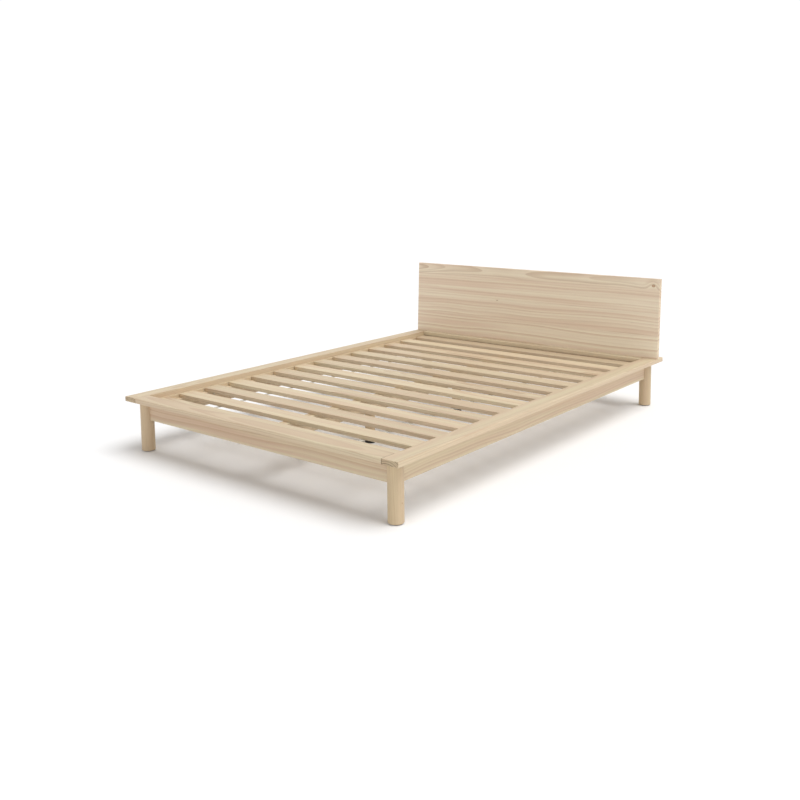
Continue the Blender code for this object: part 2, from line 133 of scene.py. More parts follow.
class Finish:
    """The node tree of one material, or of the world, and the one method that adds a node."""

    def __init__(self, owner):
        owner.use_nodes = True
        self.owner = owner
        self.tree = owner.node_tree

    def node(self, kind, settings=None, inputs=None, output=0):
        """Adds a node: its settings are set first, then each input gets a number or a link."""
        made = self.tree.nodes.new(kind)
        for setting, value in (settings or {}).items():
            setattr(made, setting, value)
        for name, value in (inputs or {}).items():
            self.feed(made.inputs[name], value)
        return Value(self, made.outputs[output])

    def feed(self, socket, value):
        """Links a value to a socket, or sets the socket to a number."""
        if isinstance(value, Value):
            self.tree.links.new(value.socket, socket)
        else:
            socket.default_value = value

    def math(self, operation, first, second=0.0):
        """One sum of two values or numbers."""
        return self.node("ShaderNodeMath", {"operation": operation}, {0: first, 1: second})

    def split(self, vector):
        """The three parts of a vector or colour."""
        parts = self.node("ShaderNodeSeparateXYZ", None, {"Vector": vector})
        return parts, parts.output("Y"), parts.output("Z")

    def join(self, x, y, z):
        """A vector from its three parts."""
        return self.node("ShaderNodeCombineXYZ", None, {"X": x, "Y": y, "Z": z})

    def ease(self, value, low, high):
        """0 below low, 1 above high, and a smooth rise between."""
        settings = {"interpolation_type": "SMOOTHSTEP"}
        inputs = {"Value": value, "From Min": low, "From Max": high}
        return self.node("ShaderNodeMapRange", settings, inputs)

    def noise(self, place, scale=1.0, detail=2.0, roughness=0.5):
        """Noise from 0 to 1 over a place in space."""
        inputs = {"Vector": place, "Scale": scale, "Detail": detail, "Roughness": roughness}
        return self.node("ShaderNodeTexNoise", {"noise_dimensions": "3D"}, inputs)

    def noise_along(self, distance, detail=1.0):
        """Noise from 0 to 1 over one distance."""
        inputs = {"W": distance, "Scale": 1.0, "Detail": detail}
        return self.node("ShaderNodeTexNoise", {"noise_dimensions": "1D"}, inputs)

    def mix(self, factor, first, second, blend="MIX"):
        """A colour between two others, or one laid on the other by a blend."""
        settings = {"data_type": "RGBA", "blend_type": blend, "clamp_factor": True}
        return self.node("ShaderNodeMix", settings, {0: factor, 6: first, 7: second}, 2)

    def dim(self, colour, amount):
        """A colour times a number."""
        inputs = {0: colour, "Scale": amount}
        return self.node("ShaderNodeVectorMath", {"operation": "SCALE"}, inputs)

    def bump(self, height, strength, distance):
        """A normal that is tilted as though the surface rose and fell by a height."""
        inputs = {"Height": height, "Strength": strength, "Distance": distance}
        return self.node("ShaderNodeBump", None, inputs)

    def surface(self, **sockets):
        """Sets or links the sockets of the material's shader, named with _ for a space."""
        shader = next(n for n in self.tree.nodes if n.type == "BSDF_PRINCIPLED")
        for name, value in sockets.items():
            self.feed(shader.inputs[name.replace("_", " ")], value)
        return self.owner


def new_finish(name):
    """The node tree of a new material."""
    return Finish(bpy.data.materials.new(name))


# ---------------------------------------------------------------- wood


def knot_at(wood, s, c, radius, place, across):
    """How far a point is from a knot's centre line, in knot radii, with a wavering outline."""
    ds = (s - place[0]) * 0.72
    dc = c - place[1]
    flat = wood.math("SQRT", ds * ds + dc * dc)
    waver = wood.noise(wood.join(s, across, c), 1.6 / radius, 1.0) - 0.5
    return flat / radius + waver * 0.5


def pine(
    name, along, pith, seed, first_ring=0.0, ring=0.0062, taper=0.006, sweep=(0.0, 0.0),
    knots=(), face="a", contrast=0.85, rose=0.30, painted_light=1.0, slats=None, seam=None,
    tones=(CREAM, TAN, ROSE), sway=0.014, end_dark=0.24, end_contrast=0.42,
):
    """Pine as solid wood, so each face shows the cut that a saw would make there.

    s runs along the grain, a and b are the other two axes in order, and the tones are those of
    spring wood, summer wood and the heart tone between them. The growth rings are the
    level lines of the distance from the pith less taper times s. The pith wanders, and bows
    across the face that is named by sweep[1] (s - sweep[0])^2. Slow noise moves the rings by up
    to half of sway. Within a ring the wood darkens slowly from spring to summer and drops back
    sharply. A knot (s, place across, radius) pushes the rings apart round it. End grain is
    darker by end_dark, and its summer wood by end_contrast more. Fine fibres run along the
    board. slats = (first, pitch) cuts each slat from its own part of the log. Where a board
    butts against others, its ends, seam from the middle, have a thin dark line: partly its glue
    line, partly painted shadow in the joint's gap.
    """
    cream, tan, blush = tones
    wood = new_finish(name)
    x, y, z = wood.split(wood.node("ShaderNodeTexCoord", output="Object"))
    s, a, b = {"X": (x, y, z), "Y": (y, x, z), "Z": (z, x, y)}[along]
    nx, ny, nz = wood.split(wood.node("ShaderNodeTexCoord", output="Normal"))
    end_on = abs({"X": nx, "Y": ny, "Z": nz}[along])

    if slats:
        first, pitch = slats
        number = wood.math("FLOOR", (a - first) / pitch + 0.5)
        settings = {"noise_dimensions": "1D"}
        pick = wood.node("ShaderNodeTexWhiteNoise", settings, {"W": number + seed}, "Color")
        pick_a, pick_b, pick_s = wood.split(pick)
        a = a - number * pitch - first + (pick_a - 0.5) * 0.15
        b = b + (pick_b - 0.5) * 0.05
        s = s + pick_s * 5.0
        tone = 0.94 + pick_b * 0.12
    else:
        tone = 1.0

    # The rings: distance from the pith, with every slow disturbance that the tree gave it.
    bow = (s - sweep[0]) * (s - sweep[0]) * sweep[1]
    wander_a = (wood.noise_along(s * 1.4 + seed * 3.1) - 0.5) * 0.030
    wander_b = (wood.noise_along(s * 1.2 + seed * 5.7 + 9.0) - 0.5) * 0.030
    da = a - pith[0] + wander_a
    db = b - pith[1] + wander_b
    if face == "a":
        da = da + bow
    else:
        db = db + bow
    radius = wood.math("SQRT", da * da + db * db) - s * taper
    shift = (seed * 1.7, seed * 0.9)
    slow = wood.noise(wood.join(s * 1.1 + shift[0], a * 7.0 + shift[1], b * 7.0), 1.0, 2.0)
    ripple = wood.noise(wood.join(s * 4.0 + shift[1], a * 40.0, b * 40.0 + shift[0]), 1.0, 2.0)
    radius = radius + (slow - 0.5) * sway + (ripple - 0.5) * 0.0015

    knot_mask = None
    c, across = (b, a) if face == "a" else (a, b)
    for place_s, place_c, knot_radius in knots:
        near = knot_at(wood, s, c, knot_radius, (place_s, place_c), across)
        push = wood.math("EXPONENT", near * near * -0.07)
        radius = radius + push * knot_radius * 2.6
        disc = 1.0 - wood.ease(near, 0.86, 1.10)
        rim = wood.ease(near, 0.45, 1.00) * disc
        if knot_mask is None:
            knot_mask, knot_rim = disc, rim
        else:
            knot_mask, knot_rim = wood.math("MAXIMUM", knot_mask, disc), knot_rim + rim

    radius = radius + (wood.noise_along(radius * 60.0 + seed) - 0.5) * 0.007
    years = (radius - first_ring) / ring
    year = wood.math("FLOOR", years)
    season = wood.math("FRACT", years)
    settings = {"noise_dimensions": "1D"}
    vigour = wood.node("ShaderNodeTexWhiteNoise", settings, {"W": year + seed * 13.0})
    summer = wood.ease(season, 0.12, 0.90) * (1.0 - wood.ease(season, 0.94, 1.0))
    figure = summer * (0.20 + wood.math("POWER", vigour, 1.7) * 0.80)

    # Fibres, resin ducts and the slow drift of tone along a board.
    fibres = wood.noise(wood.join(s * 13.0, a * 820.0, b * 820.0), 1.0, 2.0, 0.6)
    strands = wood.noise(wood.join(s * 3.0 + seed, a * 170.0, b * 170.0), 1.0, 3.0, 0.6)
    ducts = wood.noise(wood.join(s * 26.0 + seed, a * 640.0, b * 640.0), 1.0, 0.0)
    drift = wood.noise(wood.join(s * 0.7 + shift[1], a * 26.0, b * 26.0 + shift[0]), 1.0, 2.0)

    colour = wood.mix(wood.ease(drift, 0.36, 0.64) * rose, cream, blush)
    colour = wood.mix(figure * contrast, colour, tan)
    fleck = wood.ease(ducts, 0.66, 0.76) * (0.35 + figure * 0.65)
    cut = wood.ease(end_on, 0.50, 0.88)
    end_shade = cut * (end_dark + figure * end_contrast)
    shade = 0.885 + fibres * 0.09 + strands * 0.14 - fleck * 0.10 - end_shade
    # The last factor here scales the whole piece's colour as painted shade where less light falls on
    # it.
    colour = wood.dim(colour, shade * tone * painted_light)
    colour = wood.mix(cut * 0.45, colour, (0.93, 0.82, 0.68, 1.0), "MULTIPLY")
    if knot_mask is not None:
        colour = wood.mix(knot_mask * 0.85, colour, KNOT_HEART)
        colour = wood.mix(knot_rim * 0.75, colour, KNOT_RIM)

    # Painted shadow: a thin dark line at the butt ends for the joint's gap, with its glue line.
    if seam:
        butt_shadow_mask = wood.ease(abs(s), seam - 0.0016, seam - 0.0004)
        colour = wood.mix(butt_shadow_mask * 0.65, colour, SEAM_GLUE_AND_SHADOW)

    grain = fibres * 0.55 + strands * 0.25 + figure * 0.35 - fleck * 0.5
    rough = 0.47 + fibres * 0.10 + cut * 0.16 - figure * 0.05
    normal = wood.bump(grain, 0.22, 0.0004)
    wood.surface(Base_Color=colour, Roughness=rough, Normal=normal, IOR=1.46)
    return wood.owner


# ---------------------------------------------------------------- steel, plastic, felt, webbing


def zinc_steel():
    """Bright zinc plate: cool metal with a fine brushed grain and a faint blue and straw cast."""
    steel = new_finish("zinc_steel")
    place = steel.node("ShaderNodeTexCoord", output="Object")
    cloud = steel.noise(place, 90.0, 3.0)
    crystals = steel.noise(place, 900.0, 1.0)
    colour = steel.mix(cloud, (0.60, 0.62, 0.66, 1.0), (0.70, 0.67, 0.58, 1.0))
    colour = steel.dim(colour, 0.88 + crystals * 0.2)
    rough = 0.26 + cloud * 0.16 + crystals * 0.10
    normal = steel.bump(crystals, 0.12, 0.0002)
    return steel.surface(Base_Color=colour, Metallic=1.0, Roughness=rough, Normal=normal)


def black_plastic():
    """Moulded plastic with a fine spark-eroded grain."""
    plastic = new_finish("black_plastic")
    place = plastic.node("ShaderNodeTexCoord", output="Object")
    grain = plastic.noise(place, 2600.0, 1.0)
    cloud = plastic.noise(place, 60.0, 2.0)
    colour = plastic.mix(cloud, (0.018, 0.018, 0.019, 1.0), (0.034, 0.033, 0.032, 1.0))
    rough = 0.42 + grain * 0.16
    normal = plastic.bump(grain, 0.35, 0.0002)
    return plastic.surface(Base_Color=colour, Roughness=rough, Normal=normal)


def grey_felt():
    """Pressed wool felt: tangled fibres in two greys."""
    felt = new_finish("felt")
    place = felt.node("ShaderNodeTexCoord", output="Object")
    tangle = felt.noise(place, 1500.0, 4.0, 0.7)
    clumps = felt.noise(place, 260.0, 2.0)
    pale = felt.ease(tangle, 0.35, 0.65)
    colour = felt.mix(pale, (0.23, 0.21, 0.19, 1.0), (0.46, 0.43, 0.39, 1.0))
    colour = felt.dim(colour, 0.75 + clumps * 0.5)
    normal = felt.bump(tangle + clumps * 0.5, 0.8, 0.0006)
    return felt.surface(Base_Color=colour, Roughness=0.95, Normal=normal, Sheen_Weight=0.3)


def cotton_webbing():
    """Plain-woven tape: rounded warp threads along the bed cross rounded weft threads."""
    tape = new_finish("webbing")
    x, y, z = tape.split(tape.node("ShaderNodeTexCoord", output="Object"))
    warp = x * (math.pi / 0.0010)
    weft = y * (math.pi / 0.0012)
    crossing = tape.math("SINE", warp) * tape.math("SINE", weft)
    warp_up = tape.ease(crossing, -0.15, 0.15)
    warp_round = abs(tape.math("COSINE", warp))
    weft_round = abs(tape.math("COSINE", weft))
    height = abs(crossing) * 0.8 + warp_up * (1.0 - warp_round) * 0.2 + (1.0 - weft_round) * 0.1
    fuzz = tape.noise(tape.join(x * 2500.0, y * 500.0, z * 2500.0), 1.0, 2.0)
    raised = tape.ease(height, 0.0, 0.55)
    # Painted shade: the low parts of the weave, between the raised threads, are painted darker.
    colour = tape.mix(raised, (0.36, 0.32, 0.25, 1.0), (0.74, 0.70, 0.60, 1.0))
    colour = tape.dim(colour, 0.86 + fuzz * 0.28)
    normal = tape.bump(height + fuzz * 0.2, 0.6, 0.0005)
    return tape.surface(Base_Color=colour, Roughness=0.86, Normal=normal, Sheen_Weight=0.2)


# ---------------------------------------------------------------- surfaces


def skin(rings):
    """Points and faces of a closed skin over a grid of rings, stations x around x 3.

    Each ring is joined to the next by four-sided faces, round the seam, and the first and last
    rings are closed by one flat face each.
    """
    stations, around = rings.shape[:2]
    index = np.arange(stations * around).reshape(stations, around)
    ahead = np.roll(index, -1, axis=1)
    sides = np.stack([index[:-1], ahead[:-1], ahead[1:], index[1:]], axis=-1).reshape(-1, 4)
    faces = sides.tolist() + [index[0][::-1].tolist(), index[-1].tolist()]
    return rings.reshape(-1, 3), faces


def repeated(points, faces, places):
    """Copies of one small closed shape at several places: every point plus each place."""
    count = len(points)
    copies = (points[None, :, :] + np.asarray(places, float)[:, None, :]).reshape(-1, 3)
    shifted = [[i + count * n for i in face] for n in range(len(places)) for face in faces]
    return copies, shifted


def add_piece(name, points, faces, finish, body, nodes, slot_name, sharp=38.0):
    """Puts points and faces into a mesh and rides it on a body.

    Points that share a place become one, which also drops the faces that had no area, and the
    faces are turned to look outwards. Edges steeper than sharp, in degrees, stay crisp.
    """
    same_place = 2e-6
    mesh = bpy.data.meshes.new(name)
    mesh.from_pydata(np.asarray(points, float).tolist(), [], faces)
    work = bmesh.new()
    work.from_mesh(mesh)
    bmesh.ops.remove_doubles(work, verts=work.verts, dist=same_place)
    bmesh.ops.dissolve_degenerate(work, dist=same_place, edges=work.edges)
    bmesh.ops.recalc_face_normals(work, faces=work.faces)
    work.to_mesh(mesh)
    work.free()
    mesh.materials.append(finish)
    mesh.polygons.foreach_set("use_smooth", np.ones(len(mesh.polygons), bool))
    mesh.set_sharp_from_angle(angle=math.radians(sharp))
    piece = bpy.data.objects.new(name, mesh)
    bpy.context.scene.collection.objects.link(piece)
    shading = piece.modifiers.new("even_shading", "WEIGHTED_NORMAL")
    shading.keep_sharp = True
    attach(piece, body)
    if nodes:
        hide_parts(*nodes)
    return piece


def section(a_low, a_high, b_low, b_high, radius, steps=4):
    """Rounded rectangles, one a station: a quarter circle about each corner's centre.

    The bounds are arrays over the stations, and radius is one number a station, or four, one a
    corner, going round from high a and high b.
    """
    bounds = (a_low, a_high, b_low, b_high)
    a_low, a_high, b_low, b_high = (np.asarray(bound, float)[:, None] for bound in bounds)
    quarter = np.linspace(0.0, np.pi / 2, steps + 1)
    angle = np.concatenate([quarter + turn * np.pi / 2 for turn in range(4)])
    corner = np.repeat(np.arange(4), steps + 1)
    radii = np.broadcast_to(np.asarray(radius, float).reshape(len(a_low), -1), (len(a_low), 4))
    r = radii[:, corner]
    high_a = np.isin(corner, (0, 3))
    high_b = corner < 2
    a = np.where(high_a, a_high - r, a_low + r) + r * np.cos(angle)
    b = np.where(high_b, b_high - r, b_low + r) + r * np.sin(angle)
    return a, b


def eased(low, high, radius, steps=4):
    """Stations and insets of a quarter-round at both ends: the inset is radius (1 - sin t)."""
    t = np.linspace(0.0, np.pi / 2, steps + 1)
    away = radius * (1.0 - np.cos(t))
    inset = radius * (1.0 - np.sin(t))
    stations = np.concatenate([low + away, (high - away)[::-1]])
    return stations, np.concatenate([inset, inset[::-1]])


def lay_out(axis, stations, a, b):
    """Rings in space from stations along one axis and the sections across it."""
    rings = np.empty(a.shape + (3,))
    others = [k for k in (X, Y, Z) if k != axis]
    rings[..., axis] = np.asarray(stations, float)[:, None]
    rings[..., others[0]] = a
    rings[..., others[1]] = b
    return rings


def board_rings(axis, low, high, arris=0.0035, end_arris=0.0010, steps=4):
    """A straight board: one rounded rectangle carried along the grain, its ends eased."""
    others = [k for k in (X, Y, Z) if k != axis]
    stations, inset = eased(low[axis], high[axis], end_arris)
    (a0, b0), (a1, b1) = ([v[k] for k in others] for v in (low, high))
    corner = np.maximum(np.broadcast_to(arris, (4,))[None, :] - inset[:, None], 0.0001)
    a, b = section(a0 + inset, a1 - inset, b0 + inset, b1 - inset, corner, steps)
    return lay_out(axis, stations, a, b)


def stepped_board_rings(axis, pieces, arris, end_arris=0.0005, steps=4):
    """A board whose section changes in steps along the grain.

    pieces lists (from, to, a_low, a_high, b_low, b_high), end to end; where the section changes,
    two rings share a station, and the face between them is the shoulder.
    """
    rows = np.array([[(p[0], *p[2:]), (p[1], *p[2:])] for p in pieces], float).reshape(-1, 5)
    stations, inset = eased(rows[0, 0], rows[-1, 0], end_arris)
    half = len(stations) // 2
    inner = rows[1:-1]
    full = np.concatenate([np.repeat(rows[:1], half, 0), inner, np.repeat(rows[-1:], half, 0)])
    inset = np.concatenate([inset[:half], np.zeros(len(inner)), inset[half:]])
    stations = np.concatenate([stations[:half], inner[:, 0], stations[half:]])
    corner = np.maximum(np.broadcast_to(arris, (4,))[None, :] - inset[:, None], 0.0001)
    a, b = section(
        full[:, 1] + inset, full[:, 2] - inset, full[:, 3] + inset, full[:, 4] - inset, corner, steps
    )
    return lay_out(axis, stations, a, b)


def turned_rings(base, direction, along, radius, hexagon=0.0, thread=0.0, pitch=0.0015, around=32):
    """A turned or headed part about a line.

    At each distance along the line the ring is a circle, or as hexagon goes to 1 a hexagon of
    the same corner radius: corner radius x cos 30 / cos(angle from the flat's middle). Where
    thread is not 0, a helix of triangular grooves that deep is cut into it.
    """
    along = np.asarray(along, float)[:, None]
    radius, hexagon, thread = (
        np.broadcast_to(np.asarray(each, float), (len(along),))[:, None]
        for each in (radius, hexagon, thread)
    )
    angle = (np.arange(around) * 2 * np.pi / around)[None, :]
    flat = np.cos(np.pi / 6) / np.cos(np.mod(angle, np.pi / 3) - np.pi / 6)
    groove = np.abs(2 * np.mod(along / pitch - angle / (2 * np.pi), 1.0) - 1.0)
    r = radius * (1.0 - hexagon + hexagon * flat) - thread * groove
    forward = Vector(direction).normalized()
    side = forward.orthogonal().normalized()
    if abs(forward.z) < 0.5:
        side = forward.cross(Vector((0, 0, 1))).normalized()
    up = np.array(forward.cross(side))
    side, forward = np.array(side), np.array(forward)
    base = np.asarray(base, float)
    spokes = np.cos(angle)[..., None] * side + np.sin(angle)[..., None] * up
    return base + along[..., None] * forward + r[..., None] * spokes


def plate_rings(path, thickness, low, high, bend=0.004, arris=0.0004):
    """A strip of sheet steel folded along a flat path and standing from low to high.

    Each inner corner of the path becomes an arc that meets both straight parts at the bend
    radius; the outline is the path moved half the thickness to each side, and it is carried
    straight up with a small round at both edges.
    """
    path = np.asarray(path, float)
    line = [path[:1]]
    for before, here, after in zip(path[:-2], path[1:-1], path[2:]):
        back = (before - here) / np.linalg.norm(before - here)
        on = (after - here) / np.linalg.norm(after - here)
        half = np.arccos(np.clip(np.dot(back, on), -1, 1)) / 2
        reach = bend / np.tan(half)
        centre = here + (back + on) / np.linalg.norm(back + on) * bend / np.sin(half)
        start, end = here + back * reach - centre, here + on * reach - centre
        t = np.linspace(0.0, 1.0, 7)[:, None]
        arc = start * (1 - t) + end * t
        line.append(centre + arc / np.linalg.norm(arc, axis=1)[:, None] * bend)
    line = np.concatenate(line + [path[-1:]])
    run = np.gradient(line, axis=0)
    run[0], run[-1] = line[1] - line[0], line[-1] - line[-2]
    run /= np.linalg.norm(run, axis=1)[:, None]
    out = np.stack([-run[:, 1], run[:, 0]], axis=1)
    stations, inset = eased(low, high, arris, 2)
    half = thickness / 2 - inset[:, None, None]
    trimmed = line[None] - np.zeros_like(half)
    trimmed[:, 0] += run[0] * inset[:, None]
    trimmed[:, -1] -= run[-1] * inset[:, None]
    outline = np.concatenate([trimmed + out * half, (trimmed - out * half)[:, ::-1]], axis=1)
    rings = np.empty(outline.shape[:2] + (3,))
    rings[..., :2] = outline
    rings[..., 2] = stations[:, None]
    return rings


# ---------------------------------------------------------------- the ledge


def low_high(node):
    """A CAD node's lowest and highest corners as arrays."""
    low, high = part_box(node)
    return np.array(low, float), np.array(high, float)


def make_side_boards():
    """The long ledge boards, whose curved end grain shows at the foot and the head."""
    outer, inner = 0.0035, 0.0010
    for side, sign in SIDES.items():
        node = f"side_board_{side}"
        # The scale of 0.96 darkens the whole board as painted shade.
        wood = pine(
            f"pine_{node}", "Y", (sign * 0.735, 0.186), 3.0 + sign, first_ring=0.0430, ring=0.0066,
            taper=0.003, sweep=(0.1, 0.004), face="b", rose=0.5, contrast=0.8, painted_light=0.96,
            end_dark=0.13, end_contrast=0.75,
        )
        low, high = low_high(node)
        arris = [inner, outer, outer, inner] if side == "left" else [outer, inner, inner, outer]
        rings = board_rings(Y, low, high, arris, 0.0030)
        add_piece(f"{node}_planed", *skin(rings), wood, ROOT, [node], "ledge_pine")


def make_foot_board():
    """The short ledge board, which butts between the side boards."""
    low, high = low_high("foot_board")
    # The scale of 0.94 darkens the whole board as painted shade.
    wood = pine(
        "pine_foot_board", "X", (-1.052, 0.165), 6.0, first_ring=0.0605, ring=0.0080,
        sweep=(-0.1, 0.010), face="b", rose=0.5, contrast=0.9, painted_light=0.94, seam=high[X],
    )
    rings = board_rings(X, low, high, 0.0035, 0.0008)
    add_piece("foot_board_planed", *skin(rings), wood, ROOT, ["foot_board"], "ledge_pine")


def make_head_board():
    """The wide board at the head, notched at its back for the two headboard posts."""
    low, high = low_high("head_board")
    wood = pine(
        "pine_head_board", "X", (1.060, 0.150), 7.0, first_ring=0.0640, ring=0.0085,
        sweep=(0.2, 0.008), face="b", seam=high[X],
    )
    post_low, post_high = low_high("headboard_post_right")
    inner, outer = post_low[X] - GAP, post_high[X] + GAP
    full = (low[Y], high[Y], low[Z], high[Z])
    notched = (low[Y], NOTCH_Y, low[Z], high[Z])
    pieces = [
        (low[X], -outer, *full), (-outer, -inner, *notched), (-inner, inner, *full),
        (inner, outer, *notched), (outer, high[X], *full),
    ]
    rings = stepped_board_rings(X, pieces, 0.0030, 0.0008)
    add_piece("head_board_planed", *skin(rings), wood, ROOT, ["head_board"], "ledge_pine")


# ---------------------------------------------------------------- aprons and legs


def make_aprons():
    """Rails between the legs, each cut flat through the outer wood of the log."""
    for end, sign in ENDS.items():
        # The scale of 0.93 darkens both end aprons as painted shade under the ledge's overhang.
        wood = pine(
            f"pine_{end}_apron", "X", (sign * 0.985, 0.130), 11.0 + sign, first_ring=0.052,
            ring=0.0100, rose=1.0, contrast=0.95, painted_light=0.93,
        )
        make_apron(f"{end}_apron", X, wood)
    for side, sign in SIDES.items():
        wood = pine(
            f"pine_side_apron_{side}", "Y", (sign * 0.672, 0.110), 15.0 + sign, first_ring=0.046,
            ring=0.0100, taper=0.003, rose=0.8, contrast=0.9,
        )
        make_apron(f"side_apron_{side}", Y, wood)


def make_apron(node, axis, wood):
    """An apron with a tenon over its full thickness at both ends, which starts at the leg."""
    low, high = low_high(node)
    across = X if axis == Y else Y
    shoulder = LEG_AT[axis] - LEG_RADIUS - GAP
    full = (low[across], high[across], low[Z], high[Z])
    tenon = (low[across], high[across], TENON_BOTTOM, high[Z])
    pieces = [
        (low[axis], -shoulder, *tenon), (-shoulder, shoulder, *full), (shoulder, high[axis], *tenon),
    ]
    rings = stepped_board_rings(axis, pieces, [0.0006, 0.0006, 0.0060, 0.0060])
    add_piece(f"{node}_planed", *skin(rings), wood, ROOT, [node], "apron_pine")


def leg_outline(side, end, angle):
    """A leg's plan three times over: the plain circle, with its flat, and with both housings.

    A cut moves every point that lies past it straight back onto the cut's own plane.
    """
    inward, across = LEG_RADIUS * np.cos(angle), LEG_RADIUS * np.sin(angle)
    flat = np.maximum((inward + across) / math.sqrt(2) - LEG_FLAT, 0.0) / math.sqrt(2)
    flat_x, flat_y = inward - flat, across - flat
    floor = TENON_END - GAP
    in_x = (inward > floor) & (across > -APRON_OUT) & (across < APRON_IN)
    in_y = (across > floor) & (inward > -APRON_OUT) & (inward < APRON_IN)
    plans = (
        (inward, across), (flat_x, flat_y),
        (np.where(in_x, floor, flat_x), np.where(in_y, floor, flat_y)),
    )
    return [np.stack([-side * x, -end * y], axis=-1) for x, y in plans]


def make_leg(end_name, end, side_name, side):
    """A round leg, eased at the foot, carried up through its flat and its two housings.

    Its outline has a pair of points at each wall of a housing, so that the walls stand upright.
    """
    node = f"leg_{end_name}_{side_name}"
    knots = [(0.079, -1.033, 0.0022)] if node == "leg_foot_right" else []
    # Partly painted: the yellower tones and the scale of 0.87 paint the warm bounce light and the
    # shade that fall on a leg under the bed, over its own wood.
    wood = pine(
        f"pine_{node}", "Z", (side * 0.640, end * 0.985), 21.0 + side + 3.0 * end,
        first_ring=0.0800, ring=0.0042, taper=0.004, knots=knots, rose=0.4, contrast=0.42,
        painted_light=0.87, tones=HONEY_AND_BOUNCE,
    )
    low, high = low_high(node)
    walls = np.arcsin(np.array([-APRON_OUT, APRON_IN]) / LEG_RADIUS)
    walls = np.concatenate([walls, np.pi / 2 - walls])
    turn = np.arange(96) * 2 * np.pi / 96
    angle = np.sort(np.mod(np.concatenate([turn, walls - 1e-5, walls + 1e-5]), 2 * np.pi))
    whole, flattened, housed = leg_outline(side, end, angle)
    t = np.linspace(0.0, np.pi / 2, 5)
    ease = 0.0025
    shrink = 1.0 - ease * (1.0 - np.sin(t)) / LEG_RADIUS
    plans = [whole * k for k in shrink] + [whole, flattened, flattened, housed, housed]
    ledges = [FLAT_BOTTOM, FLAT_BOTTOM, TENON_BOTTOM - GAP, TENON_BOTTOM - GAP, high[Z]]
    heights = np.concatenate([low[Z] + ease * (1.0 - np.cos(t)), ledges])
    rings = np.empty((len(plans), len(angle), 3))
    rings[..., :2] = np.array(plans) + np.array([side, end]) * LEG_AT
    rings[..., 2] = heights[:, None]
    add_piece(f"{node}_turned", *skin(rings), wood, ROOT, [node], "leg_pine")


def make_corner_steel(end_name, end, side_name, side, steel, felt):
    """What holds one corner together, and the glide that it stands on."""
    tag = f"{end_name}_{side_name}"
    low, high = low_high(f"corner_bracket_{tag}")
    outward = np.array([side, end])
    leg = outward * LEG_AT
    middle = (low[Z] + high[Z]) / 2
    make_corner_bracket(tag, leg, outward, low[Z], high[Z], steel)
    make_corner_bolt(tag, (*leg, middle), (-side, -end, 0.0), steel)
    make_bracket_screws(tag, leg, outward, middle, steel)
    z = np.array([0.0, 0.0006, 0.0021, 0.0027])
    rings = turned_rings((*leg, 0.0), (0, 0, 1), z, [0.0244, 0.0250, 0.0250, 0.0246], around=64)
    add_piece(f"glide_{tag}_felt", *skin(rings), felt, ROOT, [f"glide_{tag}"], "felt")


def make_corner_bracket(tag, leg, outward, bottom, top, steel):
    """A strip folded twice: a flange on each apron, and a web across the corner between them."""
    near = APRON_IN + GAP + BRACKET_THICK / 2
    fold = BRACKET_REACH + 0.0006
    plan = np.array([(BRACKET_TIP, near), (fold, near), (near, fold), (near, BRACKET_TIP)])
    rings = plate_rings(leg - plan * outward, BRACKET_THICK, bottom, top, 0.005)
    node = f"corner_bracket_{tag}"
    add_piece(f"{node}_folded", *skin(rings), steel, ROOT, [node], "zinc_steel")


def make_corner_bolt(tag, base, inward, steel):
    """The threaded bolt on the corner's diagonal, with the washer and nut outside the web."""
    along = np.concatenate([[-0.008, -0.0075], np.arange(-0.007, 0.0745, 0.00025), [0.0745, 0.075]])
    size = np.full(len(along), 0.0040)
    size[[0, -1]] = 0.0032
    depth = np.full(len(along), 0.0005)
    depth[[0, 1, -2, -1]] = 0.0
    rings = turned_rings(base, inward, along, size, 0.0, depth, 0.00125, 20)
    node = f"corner_bolt_{tag}"
    add_piece(f"{node}_thread", *skin(rings), steel, ROOT, [node], "zinc_steel", 60)
    web = (BRACKET_REACH + APRON_IN + GAP) / math.sqrt(2)
    washer = web + BRACKET_THICK + 0.0002
    along = washer + np.array([0.0, 0.0, 0.0002, 0.0010, 0.0012, 0.0012])
    rings = turned_rings(base, inward, along, [0.0042, 0.0088, 0.009, 0.009, 0.0088, 0.0042])
    add_piece(f"corner_washer_{tag}", *skin(rings), steel, ROOT, [], "zinc_steel")
    nut = washer + 0.0013
    along = nut + np.array([0.0, 0.0, 0.0005, 0.0010, 0.0043, 0.0048, 0.0052, 0.0052])
    size = [0.0041, 0.0066, 0.0072, 0.0075, 0.0075, 0.0072, 0.0066, 0.0041]
    rings = turned_rings(base, inward, along, size, [0, 0, 0.6, 1, 1, 0.6, 0, 0])
    add_piece(f"corner_nut_{tag}", *skin(rings), steel, ROOT, [], "zinc_steel")


def make_bracket_screws(tag, leg, outward, middle, steel):
    """Two screws through each flange of a corner bracket."""
    side, end = outward
    face = APRON_IN + GAP + BRACKET_THICK
    halfway = (BRACKET_REACH + BRACKET_TIP) / 2 + 0.004
    for flange, plan, towards in (
        ("x", (halfway, face), (0.0, -end, 0.0)), ("y", (face, halfway), (-side, 0.0, 0.0)),
    ):
        at = leg - np.array(plan) * outward
        heads = repeated(*screw_head((*at, middle), towards), [(0, 0, -0.008), (0, 0, 0.008)])
        add_piece(f"bracket_screws_{tag}_{flange}", *heads, steel, ROOT, [], "zinc_steel")


def screw_head(base, direction):
    """A pan-head screw seen from above its seat: a domed disc with a hexagonal socket sunk in it."""
    along = np.array([0.0, 0.35, 0.75, 1.0, 1.0, 0.35, 0.30]) * 0.0016
    size = np.array([1.0, 1.0, 0.88, 0.62, 0.50, 0.48, 0.30]) * 0.0040
    return skin(turned_rings(base, direction, along, size, [0, 0, 0, 0, 1, 1, 1], around=24))


